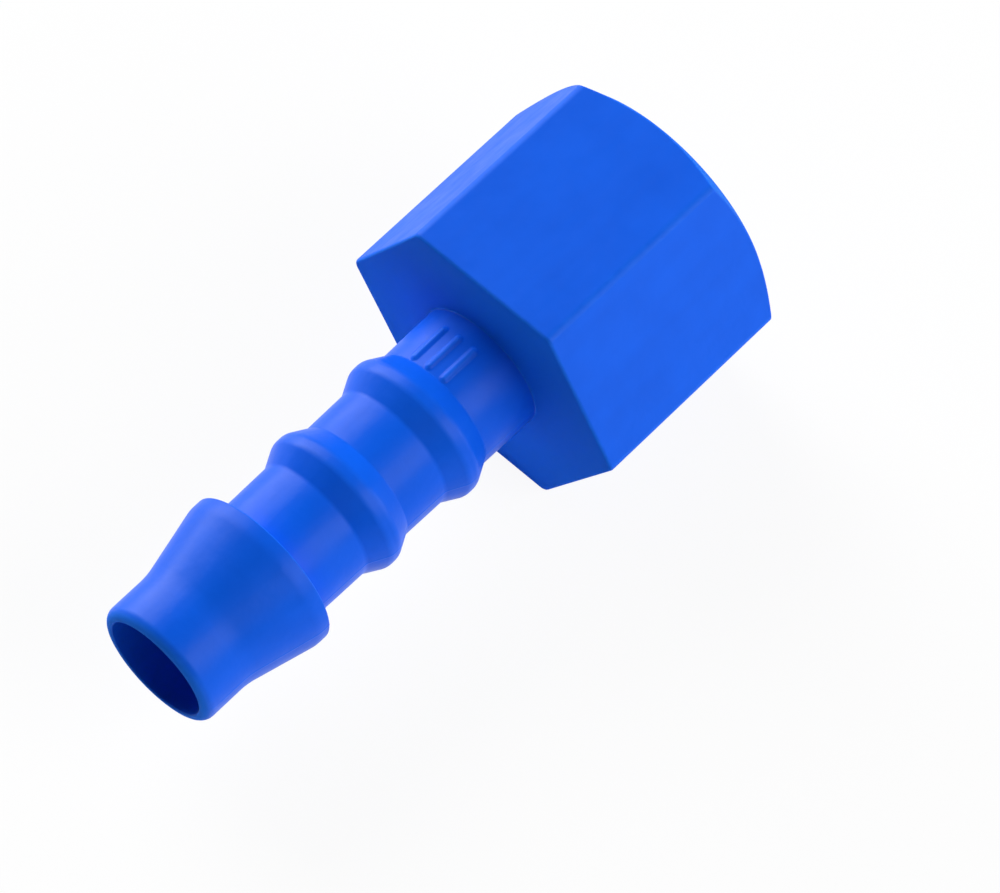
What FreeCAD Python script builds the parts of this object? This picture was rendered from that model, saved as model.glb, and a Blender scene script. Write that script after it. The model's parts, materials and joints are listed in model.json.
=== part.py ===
# Hose barb fitting: a female threaded hexagon socket that runs out into a barbed hose tail.
# It is one moulding in rigid plastic, so it is one solid.
# Millimetres. +X runs along the axis from the socket's seat to the tail's tip, and +Z is up.
# The origin is on the axis, in the plane of the seat at the bottom of the threaded socket.
# The fitting lies on one flat of its hexagon, so two flats face +Z and -Z and two corners face +Y and -Y.

import FreeCAD, Part
import math
import os

from FreeCAD import Vector

# Threaded socket, for a G 1/2 pipe thread. The wall is cut to the thread's major diameter.
THREAD_MAJOR_DIA = 20.955
SOCKET_DEPTH = 17.0
SOCKET_ENTRY_CHAMFER = 0.8

# Wrench hexagon round the socket. The socket's wall is measured from the bore to a flat.
HEX_SIDES = 6
SOCKET_WALL = 3.5225
FLOOR_THICKNESS = 6.5
HEX_EDGE_ROUNDING = 0.65
HEX_SHOULDER_ROUNDING = 0.2

# Conical chamfer on the hexagon's open end. Its angle is measured from the end plane.
END_CHAMFER_ANGLE = 34.0
END_FACE_STEP = 0.39

# Bore through the floor and the tail.
BORE_DIA = 10.8
BORE_ENTRY_CHAMFER = 0.5

# Core of the tail, which tapers away from the hexagon as moulding draft.
CORE_WALL = 0.97
CORE_DRAFT_ANGLE = 0.7

# Round backed beads, the two ridges nearest to the hexagon.
BEAD_COUNT = 2
FIRST_BEAD = 9.1
BEAD_PITCH = 10.15
BEAD_HEIGHT = 1.08
BEAD_LAND = 1.1
BEAD_BACK_ANGLE = 28.5
BEAD_FRONT_ANGLE = 27.0
BEAD_CREST_ROUNDING = 0.7

# Sharp backed barb next to the tip, with its long cone and the short lead that the cone runs out into.
LAST_BEAD_TO_BARB = 9.95
BARB_HEIGHT = 1.9
BARB_LAND = 1.3
BARB_FRONT_ROUNDING = 1.2
BARB_CONE_LENGTH = 7.15
LEAD_LENGTH = 5.4
LEAD_WALL = 1.16
LEAD_BLEND = 8.0
TIP_ROUNDING = 1.0
TIP_BORE_CHAMFER = 0.12

# How far the tail's blank and the cutting bodies run on past the faces that they meet.
OVERRUN = 2.0
# The share of a run that the rounding at each of its ends may take up.
ROUNDING_SHARE = 0.48
# A corner that turns by less than this many degrees is left as it is.
LEAST_TURN = 0.2
# How near an edge's centre must lie to a plane to count as lying in it.
IN_PLANE = 1e-6

# Places that follow from the sizes above.
THREAD_RADIUS = THREAD_MAJOR_DIA / 2
FLAT_RADIUS = THREAD_RADIUS + SOCKET_WALL
CORNER_RADIUS = FLAT_RADIUS / math.cos(math.pi / HEX_SIDES)
END_FACE_RADIUS = FLAT_RADIUS - END_FACE_STEP
BORE_RADIUS = BORE_DIA / 2
LEAD_RADIUS = BORE_RADIUS + LEAD_WALL
MOUTH_X = -SOCKET_DEPTH
SEAT_X = 0.0
SHOULDER_X = SEAT_X + FLOOR_THICKNESS
LAST_BEAD_X = SHOULDER_X + FIRST_BEAD + (BEAD_COUNT - 1) * BEAD_PITCH
BARB_CREST_X = LAST_BEAD_X + LAST_BEAD_TO_BARB
BARB_BACK_X = BARB_CREST_X - BARB_LAND / 2
BARB_FRONT_X = BARB_CREST_X + BARB_LAND / 2
LEAD_X = BARB_FRONT_X + BARB_CONE_LENGTH
TIP_X = LEAD_X + LEAD_LENGTH

AXIS_START = Vector(0, 0, 0)
AXIS = Vector(1, 0, 0)


def core_radius(x):
    """Outer radius of the tail's plain core at x."""
    return BORE_RADIUS + CORE_WALL + (BARB_BACK_X - x) * math.tan(math.radians(CORE_DRAFT_ANGLE))


def corner_arc(before, corner, after, rounding):
    """The arc that rounds a corner, or None where the corner stays sharp."""
    run_in = before - corner
    run_out = after - corner
    half_angle = run_in.getAngle(run_out) / 2
    turn = math.pi - 2 * half_angle
    if rounding <= 0 or turn < math.radians(LEAST_TURN):
        return None
    cut_back = min(rounding / math.tan(half_angle), ROUNDING_SHARE * min(run_in.Length, run_out.Length))
    radius = cut_back * math.tan(half_angle)
    run_in.normalize()
    run_out.normalize()
    bisector = (run_in + run_out).normalize()
    middle = corner + bisector * (radius / math.sin(half_angle) - radius)
    return Part.Arc(corner + run_in * cut_back, middle, corner + run_out * cut_back)


def rounded_wire(corners):
    """A closed wire through corners given as (point, rounding), with an arc at each rounded one."""
    count = len(corners)
    edges = []
    arcs = []
    for i in range(count):
        before = corners[i - 1][0]
        point, rounding = corners[i]
        after = corners[(i + 1) % count][0]
        arcs.append(corner_arc(before, point, after, rounding))
    for i in range(count):
        j = (i + 1) % count
        start = arcs[i].EndPoint if arcs[i] else corners[i][0]
        end = arcs[j].StartPoint if arcs[j] else corners[j][0]
        edges.append(Part.LineSegment(start, end).toShape())
        if arcs[j]:
            edges.append(arcs[j].toShape())
    return Part.Wire(edges)


def turned(outline):
    """The solid of revolution of an outline given as (x, radius, rounding)."""
    corners = [(Vector(x, radius, 0), rounding) for x, radius, rounding in outline]
    face = Part.Face(rounded_wire(corners))
    return face.revolve(AXIS_START, AXIS, 360)


def bead_outline(crest_x):
    """One round backed bead: back foot, crest land and front foot."""
    back_x = crest_x - BEAD_LAND / 2
    front_x = crest_x + BEAD_LAND / 2
    crest = core_radius(crest_x) + BEAD_HEIGHT
    back_foot_x = back_x - BEAD_HEIGHT / math.tan(math.radians(BEAD_BACK_ANGLE))
    front_foot_x = front_x + BEAD_HEIGHT / math.tan(math.radians(BEAD_FRONT_ANGLE))
    return [
        (back_foot_x, core_radius(back_foot_x), 0),
        (back_x, crest, BEAD_CREST_ROUNDING),
        (front_x, crest, BEAD_CREST_ROUNDING),
        (front_foot_x, core_radius(front_foot_x), 0),
    ]


def barb_outline():
    """The sharp backed barb: square back, crest land, long cone and lead up to the tip."""
    crest = core_radius(BARB_BACK_X) + BARB_HEIGHT
    return [
        (BARB_BACK_X, core_radius(BARB_BACK_X), 0),
        (BARB_BACK_X, crest, 0),
        (BARB_FRONT_X, crest, BARB_FRONT_ROUNDING),
        (LEAD_X, LEAD_RADIUS, LEAD_BLEND),
        (TIP_X, LEAD_RADIUS, TIP_ROUNDING),
    ]


def tail_blank():
    """The hose tail's outside as a turned solid that starts inside the hexagon, without its bore."""
    root_x = SHOULDER_X - OVERRUN
    outline = [
        (root_x, 0, 0),
        (root_x, core_radius(root_x), 0),
    ]
    for i in range(BEAD_COUNT):
        outline += bead_outline(SHOULDER_X + FIRST_BEAD + i * BEAD_PITCH)
    outline += barb_outline()
    outline.append((TIP_X, 0, 0))
    return turned(outline)


def hexagon_prism():
    """The wrench hexagon from the mouth to the shoulder, with rounded edges."""
    corners = []
    for i in range(HEX_SIDES):
        angle = 2 * math.pi * i / HEX_SIDES
        place = Vector(MOUTH_X, CORNER_RADIUS * math.cos(angle), CORNER_RADIUS * math.sin(angle))
        corners.append((place, HEX_EDGE_ROUNDING))
    prism = Part.Face(rounded_wire(corners)).extrude(AXIS * (SHOULDER_X - MOUTH_X))
    shoulder_edges = [e for e in prism.Edges if abs(e.CenterOfMass.x - SHOULDER_X) < IN_PLANE]
    return prism.makeFillet(HEX_SHOULDER_ROUNDING, shoulder_edges)


def chamfer_envelope():
    """A turned body whose cone takes the corners off the hexagon's open end."""
    reach = CORNER_RADIUS + OVERRUN
    cone_length = (reach - END_FACE_RADIUS) * math.tan(math.radians(END_CHAMFER_ANGLE))
    return turned([
        (MOUTH_X, 0, 0),
        (MOUTH_X, END_FACE_RADIUS, 0),
        (MOUTH_X + cone_length, reach, 0),
        (SHOULDER_X + OVERRUN, reach, 0),
        (SHOULDER_X + OVERRUN, 0, 0),
    ])


def waterway():
    """Everything that is hollow: the socket with its entry, the seat's bore and the tail's bore."""
    entry = THREAD_RADIUS + SOCKET_ENTRY_CHAMFER
    bore_entry = BORE_RADIUS + BORE_ENTRY_CHAMFER
    tip_bore = BORE_RADIUS + TIP_BORE_CHAMFER
    return turned([
        (MOUTH_X - OVERRUN, 0, 0),
        (MOUTH_X - OVERRUN, entry, 0),
        (MOUTH_X, entry, 0),
        (MOUTH_X + SOCKET_ENTRY_CHAMFER, THREAD_RADIUS, 0),
        (SEAT_X, THREAD_RADIUS, 0),
        (SEAT_X, bore_entry, 0),
        (SEAT_X + BORE_ENTRY_CHAMFER, BORE_RADIUS, 0),
        (TIP_X - TIP_BORE_CHAMFER, BORE_RADIUS, 0),
        (TIP_X, tip_bore, 0),
        (TIP_X + OVERRUN, tip_bore, 0),
        (TIP_X + OVERRUN, 0, 0),
    ])


def fitting():
    """The whole moulding: hexagon and tail joined, then hollowed."""
    hexagon = hexagon_prism().common(chamfer_envelope())
    body = hexagon.fuse(tail_blank()).removeSplitter()
    return body.cut(waterway())


os.makedirs("parts", exist_ok=True)
body = fitting()
body.exportStep("parts/fitting_body.step")
box = body.optimalBoundingBox()
print("solids", len(body.Solids), "valid", body.isValid(), "volume", round(body.Volume, 1))
print("size", round(box.XLength, 3), round(box.YLength, 3), round(box.ZLength, 3))
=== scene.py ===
import json
import math
from collections import namedtuple

import bpy
import numpy as np
from mathutils import Matrix, Vector


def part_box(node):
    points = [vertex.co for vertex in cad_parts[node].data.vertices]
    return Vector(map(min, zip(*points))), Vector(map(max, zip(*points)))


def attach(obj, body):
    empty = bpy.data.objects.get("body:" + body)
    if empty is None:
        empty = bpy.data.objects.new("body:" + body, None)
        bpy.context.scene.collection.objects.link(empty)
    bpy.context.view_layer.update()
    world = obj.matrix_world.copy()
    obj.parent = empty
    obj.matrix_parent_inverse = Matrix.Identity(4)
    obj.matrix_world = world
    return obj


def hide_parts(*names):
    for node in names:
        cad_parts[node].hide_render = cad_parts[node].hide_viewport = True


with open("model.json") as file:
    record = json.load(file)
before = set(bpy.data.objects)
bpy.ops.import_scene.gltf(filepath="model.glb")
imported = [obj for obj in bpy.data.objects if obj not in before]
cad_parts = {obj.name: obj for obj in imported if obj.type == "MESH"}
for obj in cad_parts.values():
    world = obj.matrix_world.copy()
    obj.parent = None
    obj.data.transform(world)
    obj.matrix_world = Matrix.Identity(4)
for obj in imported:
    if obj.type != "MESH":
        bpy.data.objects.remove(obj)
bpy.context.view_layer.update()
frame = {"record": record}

# Sizes are in millimetres and angles in degrees.
# Meshes, lights and the camera are scaled to metres when they are made.
MM = 0.001
FULL_TURN = 360.0
NODE = "fitting_body"
BODY = "root"
MOUNTS = {mount["name"]: mount["dims"] for mount in frame["record"]["mounts"]}
NODE_LOW, NODE_HIGH = (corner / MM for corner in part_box(NODE))

# Sizes that the frame gives. The seat at the bottom of the socket lies at x = 0.
MOUTH_X = NODE_LOW.x
SEAT_X = 0.0
TIP_X = NODE_HIGH.x
FLOOR_Z = NODE_LOW.z
FLAT_RADIUS = NODE_HIGH.z
THREAD_RADIUS = MOUNTS["threaded_socket"]["r_mm"]
ENTRY_CHAMFER = SEAT_X - MOUTH_X - MOUNTS["threaded_socket"]["length_mm"]
BORE_RADIUS = MOUNTS["tail_bore"]["r_mm"]

# Hexagon, with the softened edges of a moulding.
HEX_SIDES = 6
SECTOR = FULL_TURN / HEX_SIDES
SHOULDER_X = 6.5
HEX_EDGE_ROUNDING = 0.95
SHOULDER_ROUNDING = 0.35
END_CHAMFER_ANGLE = 34.0
END_FACE_STEP = 0.39
END_EDGE_ROUNDING = 0.25
FLAT_SINK = 0.035
# A point this little inside the flats' radius still counts as on the hexagon's side.
SIDE_TOLERANCE = 1e-4

# Socket and waterway.
ENTRY_ROUNDING = 0.15
SEAT_ROUNDING = 0.35
SEAT_BORE_CHAMFER = 0.5
SEAT_BORE_ROUNDING = 0.25
TIP_BORE_CHAMFER = 0.12
TIP_BORE_ROUNDING = 0.08

# Tail: plain core with draft, two round backed beads, one sharp backed barb and a short lead.
CORE_WALL = 0.97
CORE_DRAFT_ANGLE = 0.7
NECK_FILLET = 0.15
BEAD_CRESTS = (15.6, 25.75)
BEAD_HEIGHT = 1.08
BEAD_LAND = 1.1
BEAD_BACK_ANGLE = 28.5
BEAD_FRONT_ANGLE = 27.0
BEAD_CREST_ROUNDING = 1.5
BEAD_BACK_FOOT_ROUNDING = 0.3
BEAD_FRONT_FOOT_ROUNDING = 1.0
BARB_BACK_X = 35.05
BARB_HEIGHT = 1.9
BARB_LAND = 1.3
BARB_BACK_ROUNDING = 0.18
BARB_FOOT_ROUNDING = 0.25
BARB_FRONT_ROUNDING = 3.5
LEAD_X = 43.5
LEAD_WALL = 1.16
LEAD_BLEND = 8.0
TIP_ROUNDING = 1.0

# Plain raised ribs on the neck, where the hose slides up to.
RIB_ANGLES = (81.0, 97.0, 113.0)
RIB_START_X = 8.7
RIB_END_X = 12.5
RIB_HALF_WIDTH = 0.3
RIB_FLANK = 0.22
RIB_REACH = RIB_HALF_WIDTH + RIB_FLANK
RIB_HEIGHT = 0.26

# The mould's parting line along both sides of the tail.
PARTING_ANGLES = (0.0, 180.0)
PARTING_HEIGHT = 0.03
PARTING_WIDTH = 0.07
PARTING_RUN_OUT = 1.0

# Female pipe thread of 55 degrees, right-hand, and its plain run before the seat.
# The depth and the rounding are the thread form's shares of the pitch.
THREAD_PITCH = 1.814
THREAD_DEPTH = 0.640327 * THREAD_PITCH
THREAD_ROUNDING = 0.137329 * THREAD_PITCH
THREAD_HALF_ANGLE = 27.5
THREAD_RELIEF = 1.6
# How far the ridge's foot is sunk into the socket's wall.
THREAD_SUNK = 0.04
# Angles over which the ridge rises at its start and fades at its end, and the step between its rows.
THREAD_RUN_IN = 40.0
THREAD_RUN_OUT = 60.0
THREAD_STEP = 3.0
# The ridge's foot is a little narrower than the pitch, so that neighbouring turns share no line.
THREAD_FOOT_GAP = 0.07

# How finely the surface is cut. A rounding is cut into steps, and a straight run of the section into
# one piece more than its cuts. Columns divide a corner, a flat and a rib round the axis.
LONG_STEPS = 7
SHORT_STEPS = 4
THREAD_STEPS = 3
THREAD_FLANK_CUTS = 1
NARROW_CUTS = 2
SIDE_CUTS = 14
SHOULDER_CUTS = 5
CORE_CUTS = 4
CONE_CUTS = 6
LEAD_CUTS = 3
BORE_CUTS = 8
SEAT_CUTS = 3
SOCKET_CUTS = 10
ENTRY_CUTS = 1
RIB_END_ROWS = 8
CORNER_COLUMNS = 8
FLAT_COLUMNS = 22
RIB_COLUMNS = 12

# A corner of a section: its place, its rounding and the rounding's steps, and the cuts of the
# straight run that follows it. The radius may be an array with a value for each column.
Corner = namedtuple("Corner", "x radius rounding steps cuts", defaults=(0, 0, 0))


def sine(angle):
    """Sine of an angle in degrees."""
    return math.sin(math.radians(angle))


def cosine(angle):
    """Cosine of an angle in degrees."""
    return math.cos(math.radians(angle))


def tangent(angle):
    """Tangent of an angle in degrees."""
    return math.tan(math.radians(angle))


CORNER_RADIUS = FLAT_RADIUS / cosine(SECTOR / 2)
CORNER_CENTRE = CORNER_RADIUS - HEX_EDGE_ROUNDING / cosine(SECTOR / 2)
CORNER_HALF_ANGLE = math.degrees(math.atan2(
    HEX_EDGE_ROUNDING * sine(SECTOR / 2),
    CORNER_CENTRE + HEX_EDGE_ROUNDING * cosine(SECTOR / 2),
))


def smooth(share):
    """A soft step from 0 to 1."""
    share = np.clip(share, 0.0, 1.0)
    return share * share * (3.0 - 2.0 * share)


def unit(vectors):
    """Vectors brought to the length of 1."""
    return vectors / np.linalg.norm(vectors, axis=-1, keepdims=True)


def core_radius(x):
    """Outer radius of the tail's plain core at x."""
    return BORE_RADIUS + CORE_WALL + (BARB_BACK_X - x) * tangent(CORE_DRAFT_ANGLE)


def columns():
    """Angles round the axis, close together across the hexagon's corners and the ribs."""
    found = []
    for i in range(HEX_SIDES):
        corner = i * SECTOR
        flat_start = corner + CORNER_HALF_ANGLE
        flat_end = corner + SECTOR - CORNER_HALF_ANGLE
        found += list(np.linspace(corner - CORNER_HALF_ANGLE, flat_start, CORNER_COLUMNS + 1))
        found += list(np.linspace(flat_start, flat_end, FLAT_COLUMNS + 1)[1:-1])
    reach = math.degrees(RIB_REACH / core_radius(RIB_START_X))
    for centre in RIB_ANGLES:
        found = [angle for angle in found if abs(angle - centre) > reach]
        found += list(np.linspace(centre - reach, centre + reach, RIB_COLUMNS + 1))
    return np.array(sorted(found))


def hexagon_radius(angles):
    """Distance from the axis to the hexagon's side, its corners rounded."""
    off_corner = (angles + SECTOR / 2) % SECTOR - SECTOR / 2
    off_flat = SECTOR / 2 - np.abs(off_corner)
    flat = FLAT_RADIUS / np.cos(np.radians(off_flat))
    turn = np.radians(off_corner)
    across = np.maximum(HEX_EDGE_ROUNDING ** 2 - (CORNER_CENTRE * np.sin(turn)) ** 2, 0.0)
    arc = CORNER_CENTRE * np.cos(turn) + np.sqrt(across)
    return np.where(np.abs(off_corner) < CORNER_HALF_ANGLE, arc, flat)


def arc_rows(before, corner, after, rounding, steps):
    """Rows of points along the arc that rounds one corner of the section."""
    run_in = unit(before - corner)
    run_out = unit(after - corner)
    half = np.arccos((run_in * run_out).sum(-1, keepdims=True)) / 2
    cut_back = rounding / np.tan(half)
    centre = corner + unit(run_in + run_out) * rounding / np.sin(half)
    first = corner + run_in * cut_back - centre
    last = corner + run_out * cut_back - centre
    turn = np.pi - 2 * half
    rows = []
    for i in range(steps + 1):
        share = i / steps
        swing = first * np.sin((1 - share) * turn) + last * np.sin(share * turn)
        rows.append(centre + swing / np.sin(turn))
    return rows


def section_rows(corners, closed=True):
    """Rows of (x, radius) points along a section, its corners rounded and its runs cut."""
    count = len(corners)
    size = max(np.size(value) for corner in corners for value in (corner.x, corner.radius))
    places = [
        np.stack([np.broadcast_to(corner.x, size), np.broadcast_to(corner.radius, size)], axis=-1)
        for corner in corners
    ]
    groups = []
    for i, corner in enumerate(corners):
        if corner.rounding:
            after = places[(i + 1) % count]
            groups.append(arc_rows(places[i - 1], places[i], after, corner.rounding, corner.steps))
        else:
            groups.append([places[i]])
    rows = []
    for i, group in enumerate(groups):
        rows += group
        if closed or i < count - 1:
            run = groups[(i + 1) % count][0] - group[-1]
            parts = corners[i].cuts + 1
            rows += [group[-1] + run * k / parts for k in range(1, parts)]
    return np.array(rows)


def end_corners(side):
    """The open end: entry edge, end face, and the cone that takes the hexagon's corners off."""
    entry = THREAD_RADIUS + ENTRY_CHAMFER
    end_face = FLAT_RADIUS - END_FACE_STEP
    cone_end_x = MOUTH_X + (side - end_face) * tangent(END_CHAMFER_ANGLE)
    return [
        Corner(MOUTH_X, entry, ENTRY_ROUNDING, SHORT_STEPS, NARROW_CUTS),
        Corner(MOUTH_X, end_face, END_EDGE_ROUNDING, SHORT_STEPS, NARROW_CUTS),
        Corner(cone_end_x, side, END_EDGE_ROUNDING, SHORT_STEPS, SIDE_CUTS),
    ]


def shoulder_corners(side):
    """The hexagon's shoulder and the fillet where the neck leaves it."""
    return [
        Corner(SHOULDER_X, side, SHOULDER_ROUNDING, SHORT_STEPS, SHOULDER_CUTS),
        Corner(SHOULDER_X, core_radius(SHOULDER_X), NECK_FILLET, SHORT_STEPS),
    ]


def rib_corners():
    """Plain points along the neck, close together at the ribs' round ends."""
    starts = np.linspace(RIB_START_X - RIB_REACH, RIB_START_X + RIB_FLANK, RIB_END_ROWS)
    ends = np.linspace(RIB_END_X - RIB_FLANK, RIB_END_X + RIB_REACH, RIB_END_ROWS)
    return [Corner(x, core_radius(x)) for x in (*starts, *ends)]


def bead_corners(crest_x):
    """One round backed bead and the plain core after it."""
    crest = core_radius(crest_x) + BEAD_HEIGHT
    back_x = crest_x - BEAD_LAND / 2
    front_x = crest_x + BEAD_LAND / 2
    back_foot_x = back_x - BEAD_HEIGHT / tangent(BEAD_BACK_ANGLE)
    front_foot_x = front_x + BEAD_HEIGHT / tangent(BEAD_FRONT_ANGLE)
    back_foot = core_radius(back_foot_x)
    front_foot = core_radius(front_foot_x)
    return [
        Corner(back_foot_x, back_foot, BEAD_BACK_FOOT_ROUNDING, SHORT_STEPS, NARROW_CUTS),
        Corner(back_x, crest, BEAD_CREST_ROUNDING, LONG_STEPS),
        Corner(front_x, crest, BEAD_CREST_ROUNDING, LONG_STEPS, NARROW_CUTS),
        Corner(front_foot_x, front_foot, BEAD_FRONT_FOOT_ROUNDING, SHORT_STEPS, CORE_CUTS),
    ]


def barb_corners():
    """The sharp backed barb, its long cone, and the lead up to the tip."""
    foot = core_radius(BARB_BACK_X)
    crest = foot + BARB_HEIGHT
    lead = BORE_RADIUS + LEAD_WALL
    return [
        Corner(BARB_BACK_X, foot, BARB_FOOT_ROUNDING, SHORT_STEPS, NARROW_CUTS),
        Corner(BARB_BACK_X, crest, BARB_BACK_ROUNDING, SHORT_STEPS),
        Corner(BARB_BACK_X + BARB_LAND, crest, BARB_FRONT_ROUNDING, LONG_STEPS, CONE_CUTS),
        Corner(LEAD_X, lead, LEAD_BLEND, LONG_STEPS, LEAD_CUTS),
        Corner(TIP_X, lead, TIP_ROUNDING, LONG_STEPS),
    ]


def waterway_corners():
    """The bore from the tip to the seat, and the socket's wall up to its entry."""
    tip_bore = BORE_RADIUS + TIP_BORE_CHAMFER
    tip_bore_x = TIP_X - TIP_BORE_CHAMFER
    seat_bore = BORE_RADIUS + SEAT_BORE_CHAMFER
    seat_bore_x = SEAT_X + SEAT_BORE_CHAMFER
    return [
        Corner(TIP_X, tip_bore, TIP_BORE_ROUNDING, SHORT_STEPS),
        Corner(tip_bore_x, BORE_RADIUS, TIP_BORE_ROUNDING, SHORT_STEPS, BORE_CUTS),
        Corner(seat_bore_x, BORE_RADIUS, SEAT_BORE_ROUNDING, SHORT_STEPS),
        Corner(SEAT_X, seat_bore, SEAT_BORE_ROUNDING, SHORT_STEPS, SEAT_CUTS),
        Corner(SEAT_X, THREAD_RADIUS, SEAT_ROUNDING, SHORT_STEPS, SOCKET_CUTS),
        Corner(MOUTH_X + ENTRY_CHAMFER, THREAD_RADIUS, cuts=ENTRY_CUTS),
    ]


def fitting_section(side):
    """The closed section, with the hexagon's radius given for each column.

    It runs from the open end round the outside to the tip, and back through the bore.
    """
    corners = end_corners(side) + shoulder_corners(side) + rib_corners()
    for crest_x in BEAD_CRESTS:
        corners += bead_corners(crest_x)
    corners += barb_corners() + waterway_corners()
    return section_rows(corners)


def turn_between(angles, centre):
    """Signed turn from a centre angle, at most half a turn either way."""
    return (angles - centre + FULL_TURN / 2) % FULL_TURN - FULL_TURN / 2


def flat_sink(x, radius, angles):
    """How far the hexagon's flats have sunk in as the moulding cooled."""
    off_flat = angles % SECTOR - SECTOR / 2
    across = np.cos(np.pi * off_flat / SECTOR) ** 2
    along = np.clip((x - MOUTH_X) / (SHOULDER_X - MOUTH_X), 0.0, 1.0)
    on_side = radius > FLAT_RADIUS - SIDE_TOLERANCE
    return np.where(on_side, FLAT_SINK * across * np.sin(np.pi * along) ** 2, 0.0)


def rib_rise(x, radius, angles):
    """Height of the raised ribs above the neck, with round ends and soft flanks."""
    rise = np.zeros_like(radius)
    beyond = np.maximum(np.maximum(RIB_START_X - x, x - RIB_END_X), 0.0)
    for centre in RIB_ANGLES:
        around = radius * np.radians(turn_between(angles, centre))
        off = np.hypot(around, beyond)
        rise = np.maximum(rise, RIB_HEIGHT * smooth((RIB_REACH - off) / (2 * RIB_FLANK)))
    return rise


def parting_rise(x, radius, angles):
    """Height of the parting line along both sides of the tail."""
    rise = np.zeros_like(radius)
    for centre in PARTING_ANGLES:
        around = radius * np.radians(turn_between(angles, centre))
        rise = np.maximum(rise, PARTING_HEIGHT * np.exp(-(around / PARTING_WIDTH) ** 2))
    from_neck = smooth((x - SHOULDER_X - NECK_FILLET) / PARTING_RUN_OUT)
    to_tip = smooth((TIP_X - TIP_ROUNDING - x) / PARTING_RUN_OUT)
    return rise * from_neck * to_tip


def fitting_points():
    """The moulding's surface as a closed grid: rows along the section, columns round the axis."""
    angles = columns()
    rows = fitting_section(hexagon_radius(angles))
    x = rows[..., 0]
    radius = rows[..., 1] - flat_sink(x, rows[..., 1], angles)
    on_tail = (x > SHOULDER_X) & (radius > BORE_RADIUS + CORE_WALL / 2)
    relief = rib_rise(x, radius, angles) + parting_rise(x, radius, angles)
    radius += np.where(on_tail, relief, 0.0)
    turn = np.radians(angles)
    return np.stack([x, radius * np.cos(turn), radius * np.sin(turn)], axis=-1)


def grid_quads(rows, cols, wrap_rows, wrap_cols):
    """Quads of a grid whose points are numbered row by row."""
    row = np.arange(rows if wrap_rows else rows - 1)
    col = np.arange(cols if wrap_cols else cols - 1)
    row, col = np.meshgrid(row, col, indexing="ij")
    next_row = (row + 1) % rows
    next_col = (col + 1) % cols
    quads = np.stack([row * cols + col, row * cols + next_col,
                      next_row * cols + next_col, next_row * cols + col], axis=-1)
    return quads.reshape(-1, 4)


def vertex_normals(points, quads):
    """Normals weighted by face area, so that flats stay flat beside their rounded edges."""
    a, b, c, d = (points[corner] for corner in quads.T)
    faces = np.cross(c - a, d - b)
    normals = np.zeros_like(points)
    for corner in quads.T:
        np.add.at(normals, corner, faces)
    return unit(normals)


def bend(points, normals, axis):
    """Curvature along one axis of a closed grid, per millimetre, positive where it bulges."""
    turn = np.roll(normals, -1, axis) - np.roll(normals, 1, axis)
    step = np.roll(points, -1, axis) - np.roll(points, 1, axis)
    return (turn * step).sum(-1) / (step * step).sum(-1)


def edge_wear(points, normals):
    """From 0 on plain surfaces to 1 on rounded edges and crests, where handling rubs the skin and a
    highlight is painted.
    """
    sharpest = np.maximum(bend(points, normals, 0), bend(points, normals, 1))
    return smooth((sharpest - WEAR_AND_HIGHLIGHT_LEAST_BEND) / (WEAR_AND_HIGHLIGHT_FULL_BEND - WEAR_AND_HIGHLIGHT_LEAST_BEND))


def add_object(name, data):
    """A new object in the scene."""
    added = bpy.data.objects.new(name, data)
    bpy.context.scene.collection.objects.link(added)
    return added


def surface(name, points, normals, faces):
    """A smooth mesh object in metres from points in millimetres."""
    mesh = bpy.data.meshes.new(name)
    mesh.from_pydata((points * MM).tolist(), [], faces)
    mesh.polygons.foreach_set("use_smooth", [True] * len(mesh.polygons))
    mesh.normals_split_custom_set_from_vertices(normals.tolist())
    return add_object(name, mesh)


def fitting():
    """The whole moulding apart from its thread."""
    grid = fitting_points()
    rows, cols, _ = grid.shape
    points = grid.reshape(-1, 3)
    quads = grid_quads(rows, cols, True, True)
    normals = vertex_normals(points, quads)
    piece = surface("fitting", points, normals, quads.tolist())
    # The mask of rubbed edges, which also carries a painted highlight.
    wear_and_highlight = piece.data.attributes.new(WEAR_AND_HIGHLIGHT_ATTRIBUTE, "FLOAT", "POINT")
    wear_and_highlight.data.foreach_set("value", edge_wear(grid, normals.reshape(grid.shape)).ravel())
    return piece


def thread_profile():
    """One ridge of the thread as (offset along the axis, radius) points, from foot to foot."""
    crest = THREAD_RADIUS - THREAD_DEPTH
    slope = tangent(THREAD_HALF_ANGLE)
    crest_half = THREAD_PITCH / 4 - THREAD_DEPTH / 2 * slope
    foot_half = THREAD_PITCH / 4 + THREAD_DEPTH / 2 * slope
    edge = THREAD_PITCH / 2 - THREAD_FOOT_GAP
    corners = [
        Corner(-edge, THREAD_RADIUS),
        Corner(-foot_half, THREAD_RADIUS, THREAD_ROUNDING, THREAD_STEPS, THREAD_FLANK_CUTS),
        Corner(-crest_half, crest, THREAD_ROUNDING, THREAD_STEPS),
        Corner(crest_half, crest, THREAD_ROUNDING, THREAD_STEPS, THREAD_FLANK_CUTS),
        Corner(foot_half, THREAD_RADIUS, THREAD_ROUNDING, THREAD_STEPS),
        Corner(edge, THREAD_RADIUS),
    ]
    return section_rows(corners, closed=False)[:, 0]


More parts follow.
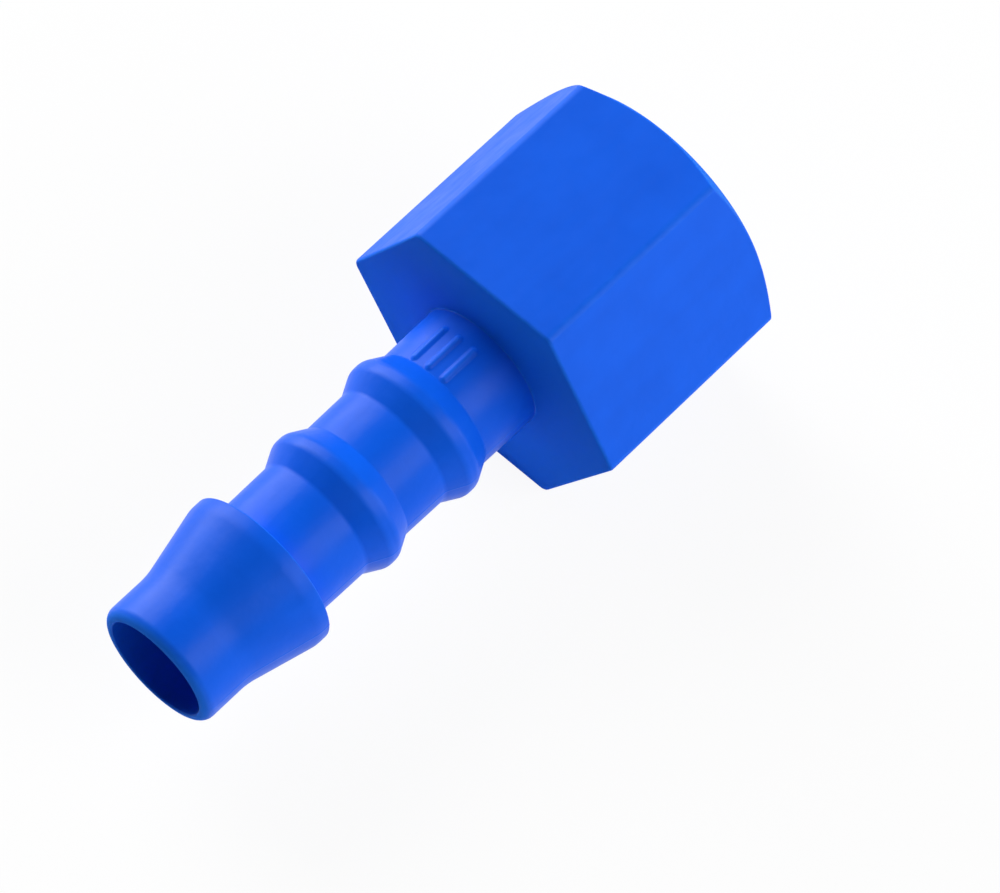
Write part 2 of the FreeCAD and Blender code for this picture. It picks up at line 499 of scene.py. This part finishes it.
def thread_points():
    """The helical ridge, trimmed by the entry's cone and run out into the wall before the seat."""
    profile = thread_profile()
    start_x = MOUTH_X + THREAD_PITCH / 2
    end_x = SEAT_X - THREAD_RELIEF
    turns = (end_x - start_x) / THREAD_PITCH
    angles = np.arange(0.0, turns * FULL_TURN, THREAD_STEP)
    centre = start_x + THREAD_PITCH * angles / FULL_TURN
    x = centre[:, None] + profile[None, :, 0]
    foot = THREAD_RADIUS + THREAD_SUNK
    run_in = smooth(angles / THREAD_RUN_IN)
    run_out = smooth((angles[-1] - angles) / THREAD_RUN_OUT)
    radius = foot - (run_in * run_out)[:, None] * (foot - profile[None, :, 1])
    radius[:, [0, -1]] = foot
    cone = THREAD_RADIUS + ENTRY_CHAMFER - (x - MOUTH_X)
    trimmed = np.maximum(radius, cone + np.where(cone > THREAD_RADIUS, THREAD_SUNK, 0.0))
    turn = np.radians(angles)[:, None]
    return np.stack([x, trimmed * np.cos(turn), -trimmed * np.sin(turn)], axis=-1)


def thread():
    """The ridge of the female thread as a closed helical piece."""
    grid = thread_points()
    rows, cols, _ = grid.shape
    points = grid.reshape(-1, 3)
    quads = grid_quads(rows, cols, False, True)[:, ::-1]
    normals = vertex_normals(points, quads)
    first_cap = list(range(cols))
    last_cap = list(range(rows * cols - 1, (rows - 1) * cols - 1, -1))
    return surface("socket_thread", points, normals, quads.tolist() + [first_cap, last_cap])


# Colours are linear.
WHITE = (1, 1, 1, 1)

# Moulded nylon. Sizes and heights of its patterns are in millimetres.
NYLON_PALE = (0.0040, 0.119, 0.84, 1)
NYLON_DEEP = (0.0030, 0.104, 0.76, 1)
# Paler colour along edges and crests: rubbed skin, and partly a painted highlight.
NYLON_WORN_AND_HIGHLIGHT = (0.012, 0.160, 0.90, 1)
# Paler colour on faces square to the axis: painted light that lifts the shoulder and the mouth's
# end.
NYLON_MATTE_PAINTED_LIGHT = (0.0040, 0.180, 0.91, 1)
NYLON_IOR = 1.5
NYLON_SPECULAR = 0.105
CLOUD_SIZE = 5.0
FLOW_LENGTH = 20.0
FLOW_WIDTH = 2.4
FLOW_SHARE = 0.35
WEAR_AND_HIGHLIGHT_ATTRIBUTE = "edge_wear"
# Wear and the painted highlight start, and are full, where the surface bends by this many radians
# per millimetre.
WEAR_AND_HIGHLIGHT_LEAST_BEND = 0.4
WEAR_AND_HIGHLIGHT_FULL_BEND = 1.4
WEAR_AND_HIGHLIGHT_PATCH_SIZE = 0.9
WEAR_AND_HIGHLIGHT_LEAST_SHARE = 0.4
# Share of the paler edge colour, partly a painted highlight.
WEAR_AND_HIGHLIGHT_SHARE = 0.55
GLOSS_PATCH_SIZE = 2.6
TAIL_ROUGHNESS = (0.33, 0.41)
HEXAGON_ROUGHNESS = (0.44, 0.54)
WEAR_ROUGHNESS = 0.05
# The shoulder and the mouth's end come from faces of the mould that aren't polished. They are told
# by how much of the surface's normal points along the axis. The same faces get a paler colour, which
# is painted light.
MATTE_ROUGHNESS = 0.8
MATTE_FROM_TURN = 0.45
MATTE_FULL_TURN = 0.9
PEEL_SIZE = 1.5
PEEL_HEIGHT = 0.012
GRAIN_SIZE = 0.14
GRAIN_HEIGHT = 0.0008
SCRATCH_LENGTH = 6.0
SCRATCH_SPACING = 0.35
SCRATCH_COVER = 0.25
SCRATCH_DEPTH = 0.0015
# Noise gathers about its middle, so this range of it is spread over the whole of a pattern.
NOISE_LOW = 0.32
NOISE_HIGH = 0.68
NOISE_DETAIL = 2.0
CLOUD_DETAIL = 3.0


class Shading:
    """A material's node tree with short calls for the nodes that it is made of."""

    def __init__(self, name):
        self.material = bpy.data.materials.new(name)
        self.material.use_nodes = True
        self.tree = self.material.node_tree

    def join(self, value, socket):
        """Links an output to a socket, or sets the socket to a plain value."""
        if isinstance(value, bpy.types.NodeSocket):
            self.tree.links.new(value, socket)
        else:
            socket.default_value = value

    def node(self, kind, *values, settings=(), **named):
        """A new node with its settings, its first inputs in order and others by name."""
        node = self.tree.nodes.new(kind)
        for name, value in dict(settings).items():
            setattr(node, name, value)
        for socket, value in zip(node.inputs, values):
            self.join(value, socket)
        for name, value in named.items():
            self.join(value, node.inputs[name])
        return node

    def coordinate(self, kind):
        """Places on the piece in metres (Object), or directions of its surface (Normal)."""
        return self.node("ShaderNodeTexCoord").outputs[kind]

    def along_axis(self, kind):
        """The part of a coordinate that runs along the fitting's axis."""
        return self.node("ShaderNodeSeparateXYZ", self.coordinate(kind)).outputs["X"]

    def attribute(self, name):
        """A value that the mesh carries."""
        settings = {"attribute_name": name}
        return self.node("ShaderNodeAttribute", settings=settings).outputs["Fac"]

    def noise(self, along, across=None, detail=NOISE_DETAIL):
        """Soft noise from 0 to 1, with features of given sizes along and across the axis."""
        sizes = (along, across or along, across or along)
        scale = [1.0 / (size * MM) for size in sizes]
        stretch = self.node("ShaderNodeMapping", self.coordinate("Object"), Scale=scale)
        place = stretch.outputs["Vector"]
        pattern = self.node("ShaderNodeTexNoise", place, Scale=1.0, Detail=detail)
        return self.spread(pattern.outputs["Fac"], NOISE_LOW, NOISE_HIGH)

    def spread(self, value, low, high, to_low=0.0, to_high=1.0):
        """Maps a range of a value to another range, and holds it there at both ends."""
        return self.node("ShaderNodeMapRange", value, low, high, to_low, to_high).outputs["Result"]

    def between(self, share, low, high):
        """A value between two others."""
        return self.spread(share, 0.0, 1.0, low, high)

    def blend(self, share, first, second):
        """A colour between two others."""
        settings = {"data_type": "RGBA"}
        node = self.node("ShaderNodeMix", settings=settings, Factor=share, A=first, B=second)
        return node.outputs["Result"]

    def combine(self, operation, *values):
        """The result of one step of arithmetic."""
        settings = {"operation": operation}
        return self.node("ShaderNodeMath", *values, settings=settings).outputs["Value"]

    def bump(self, height):
        """A normal from a height in millimetres."""
        return self.node("ShaderNodeBump", Distance=MM, Height=height).outputs["Normal"]

    def mix_shaders(self, share, first, second):
        """A shader between two others."""
        return self.node("ShaderNodeMixShader", share, first, second).outputs["Shader"]


def nylon_colour(nylon, matte_and_painted_light, wear_and_highlight):
    """Cloudy pigment with flow lines, paler on faces square to the axis as painted light, and paler
    on edges and crests: rubbed skin, partly a painted highlight.
    """
    cloud = nylon.noise(CLOUD_SIZE, detail=CLOUD_DETAIL)
    flow = nylon.noise(FLOW_LENGTH, FLOW_WIDTH)
    clouded = nylon.combine("MULTIPLY", cloud, 1.0 - FLOW_SHARE)
    tone = nylon.combine("MULTIPLY_ADD", flow, FLOW_SHARE, clouded)
    # Faces square to the axis take the paler colour as painted light.
    skin = nylon.blend(matte_and_painted_light, nylon.blend(tone, NYLON_DEEP, NYLON_PALE), NYLON_MATTE_PAINTED_LIGHT)
    # Edges and crests turn paler: rubbed skin and a painted highlight.
    return nylon.blend(nylon.combine("MULTIPLY", wear_and_highlight, WEAR_AND_HIGHLIGHT_SHARE), skin, NYLON_WORN_AND_HIGHLIGHT)


def nylon_roughness(nylon, matte_and_painted_light, wear_and_highlight):
    """A polished tail, a duller hexagon, and rough faces square to the axis."""
    gloss = nylon.noise(GLOSS_PATCH_SIZE, detail=CLOUD_DETAIL)
    neck = (SHOULDER_X * MM, (SHOULDER_X + NECK_FILLET) * MM)
    on_tail = nylon.spread(nylon.along_axis("Object"), *neck)
    smoothest = nylon.between(on_tail, HEXAGON_ROUGHNESS[0], TAIL_ROUGHNESS[0])
    dullest = nylon.between(on_tail, HEXAGON_ROUGHNESS[1], TAIL_ROUGHNESS[1])
    polished = nylon.between(gloss, smoothest, dullest)
    roughness = nylon.between(matte_and_painted_light, polished, MATTE_ROUGHNESS)
    return nylon.combine("MULTIPLY_ADD", wear_and_highlight, WEAR_ROUGHNESS, roughness)


def nylon_relief(nylon):
    """Height of the orange peel, the fine grain and the faint scratches along the axis."""
    peel = nylon.noise(PEEL_SIZE)
    grain = nylon.noise(GRAIN_SIZE)
    lengthwise = nylon.noise(SCRATCH_LENGTH, SCRATCH_SPACING)
    scratch = nylon.spread(lengthwise, 0.0, SCRATCH_COVER, -SCRATCH_DEPTH, 0.0)
    height = nylon.combine("MULTIPLY_ADD", peel, PEEL_HEIGHT, scratch)
    return nylon.combine("MULTIPLY_ADD", grain, GRAIN_HEIGHT, height)


def nylon_material():
    """Blue nylon as it comes from the mould, with its edges rubbed by handling and a painted
    highlight along them, and painted light on faces square to the axis.
    """
    nylon = Shading("moulded_nylon")
    turned = nylon.combine("ABSOLUTE", nylon.along_axis("Normal"))
    matte_and_painted_light = nylon.spread(turned, MATTE_FROM_TURN, MATTE_FULL_TURN)
    patches = nylon.between(nylon.noise(WEAR_AND_HIGHLIGHT_PATCH_SIZE), WEAR_AND_HIGHLIGHT_LEAST_SHARE, 1.0)
    wear_and_highlight = nylon.combine("MULTIPLY", nylon.attribute(WEAR_AND_HIGHLIGHT_ATTRIBUTE), patches)
    shader = nylon.tree.nodes["Principled BSDF"].inputs
    nylon.join(nylon_colour(nylon, matte_and_painted_light, wear_and_highlight), shader["Base Color"])
    nylon.join(nylon_roughness(nylon, matte_and_painted_light, wear_and_highlight), shader["Roughness"])
    nylon.join(nylon.bump(nylon_relief(nylon)), shader["Normal"])
    shader["IOR"].default_value = NYLON_IOR
    shader["Specular IOR Level"].default_value = NYLON_SPECULAR
    return nylon.material


# Camera, as fitted to the outline. It stands at CAMERA_DISTANCE from the middle of the shoulder,
# which shows at the pixel SHOULDER_PIXEL of an image of IMAGE_SIZE.
IMAGE_SIZE = (1000, 893)
SHOULDER_PIXEL = (481.4, 365.7)
CAMERA_AZIMUTH = 132.96
CAMERA_ELEVATION = 60.16
CAMERA_ROLL = 0.085
CAMERA_DISTANCE = 496.0
SENSOR_WIDTH = 36.0
PIXELS_PER_MM = 10.95
CLIP_START = 10.0
CLIP_END = 10000.0


def toward(azimuth, elevation):
    """Direction from the object to an azimuth and elevation. Azimuth 0 is -Y and 90 is +X."""
    return Vector((
        sine(azimuth) * cosine(elevation),
        -cosine(azimuth) * cosine(elevation),
        sine(elevation),
    ))


def make_camera():
    """The camera at the photograph's angle."""
    back = toward(CAMERA_AZIMUTH, CAMERA_ELEVATION)
    level = Vector((cosine(CAMERA_AZIMUTH), sine(CAMERA_AZIMUTH), 0))
    right = level * cosine(CAMERA_ROLL) + back.cross(level) * sine(CAMERA_ROLL)
    up = back.cross(right)
    shoulder = Vector((SHOULDER_X, 0, 0))
    off_x = IMAGE_SIZE[0] / 2 - SHOULDER_PIXEL[0]
    off_y = SHOULDER_PIXEL[1] - IMAGE_SIZE[1] / 2
    aim = shoulder + (right * off_x + up * off_y) / PIXELS_PER_MM
    place = shoulder + back * CAMERA_DISTANCE
    local_z = (place - aim).normalized()
    local_x = (right - local_z * right.dot(local_z)).normalized()
    turned = Matrix((local_x, local_z.cross(local_x), local_z)).transposed()
    data = bpy.data.cameras.new("camera")
    data.sensor_width = SENSOR_WIDTH
    data.lens = PIXELS_PER_MM * CAMERA_DISTANCE * SENSOR_WIDTH / IMAGE_SIZE[0]
    data.clip_start = CLIP_START * MM
    data.clip_end = CLIP_END * MM
    camera = add_object("camera", data)
    camera.matrix_world = Matrix.LocRotScale(place * MM, turned, None)
    bpy.context.scene.camera = camera


FLOOR_HALF = 1500.0
FLOOR_DROP = 0.02
FLOOR_SEEN = (0.95, 0.95, 0.95, 1)
FLOOR_BOUNCE = (0.9, 0.9, 0.9, 1)
FLOOR_SHADOW_SHARE = 0.08


def floor_material():
    """White with a faint shadow where it is seen or mirrored, and pale grey for other light."""
    floor = Shading("floor")
    floor.tree.nodes.clear()
    path = floor.node("ShaderNodeLightPath").outputs
    seen = path["Is Camera Ray"]
    for ray in ("Is Glossy Ray", "Is Transmission Ray"):
        seen = floor.combine("MAXIMUM", seen, path[ray])
    white = floor.node("ShaderNodeEmission", WHITE).outputs["Emission"]
    shaded = floor.node("ShaderNodeBsdfDiffuse", FLOOR_SEEN).outputs["BSDF"]
    bounce = floor.node("ShaderNodeBsdfDiffuse", FLOOR_BOUNCE).outputs["BSDF"]
    backdrop = floor.mix_shaders(FLOOR_SHADOW_SHARE, white, shaded)
    floor.node("ShaderNodeOutputMaterial", floor.mix_shaders(seen, bounce, backdrop))
    return floor.material


def make_floor():
    """A plain white floor that the fitting lies on."""
    z = FLOOR_Z - FLOOR_DROP
    corners = [(-FLOOR_HALF, -FLOOR_HALF, z), (FLOOR_HALF, -FLOOR_HALF, z),
               (FLOOR_HALF, FLOOR_HALF, z), (-FLOOR_HALF, FLOOR_HALF, z)]
    mesh = bpy.data.meshes.new("floor")
    mesh.from_pydata([[value * MM for value in corner] for corner in corners], [], [(0, 1, 2, 3)])
    mesh.materials.append(floor_material())
    add_object("floor", mesh)


# Soft boxes round the fitting, each given by azimuth, elevation, width and power in watts.
# The side boxes stand a little behind the shoulder, which gets its light from the floor.
BOX_DISTANCE = 700.0
BOXES = {
    "left_low": (353.0, 6.0, 360.0, 3.3),
    "left_high": (345.0, 36.0, 460.0, 4.4),
    "right_low": (225.0, 8.0, 400.0, 2.2),
    "right_high": (195.0, 35.0, 480.0, 3.0),
    "front": (125.0, 42.0, 400.0, 0.2),
}
WORLD_STRENGTH = 0.02


def make_lights():
    """Plain soft boxes on the two long sides, a weak one in front, and a faint world."""
    for name, (azimuth, elevation, width, power) in BOXES.items():
        data = bpy.data.lights.new(name, "AREA")
        data.size = width * MM
        data.energy = power
        light = add_object(name, data)
        direction = toward(azimuth, elevation)
        light.location = direction * BOX_DISTANCE * MM
        light.rotation_euler = direction.to_track_quat("Z", "Y").to_euler()
    world = bpy.data.worlds.new("studio")
    world.use_nodes = True
    background = world.node_tree.nodes["Background"]
    background.inputs["Color"].default_value = WHITE
    background.inputs["Strength"].default_value = WORLD_STRENGTH
    bpy.context.scene.world = world


body = fitting()
ridge = thread()
finish = nylon_material()
for piece in (body, ridge):
    piece.data.materials.append(finish)
    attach(piece, BODY)
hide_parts(NODE)

make_camera()
make_floor()
make_lights()
bpy.context.scene.view_settings.view_transform = "Standard"
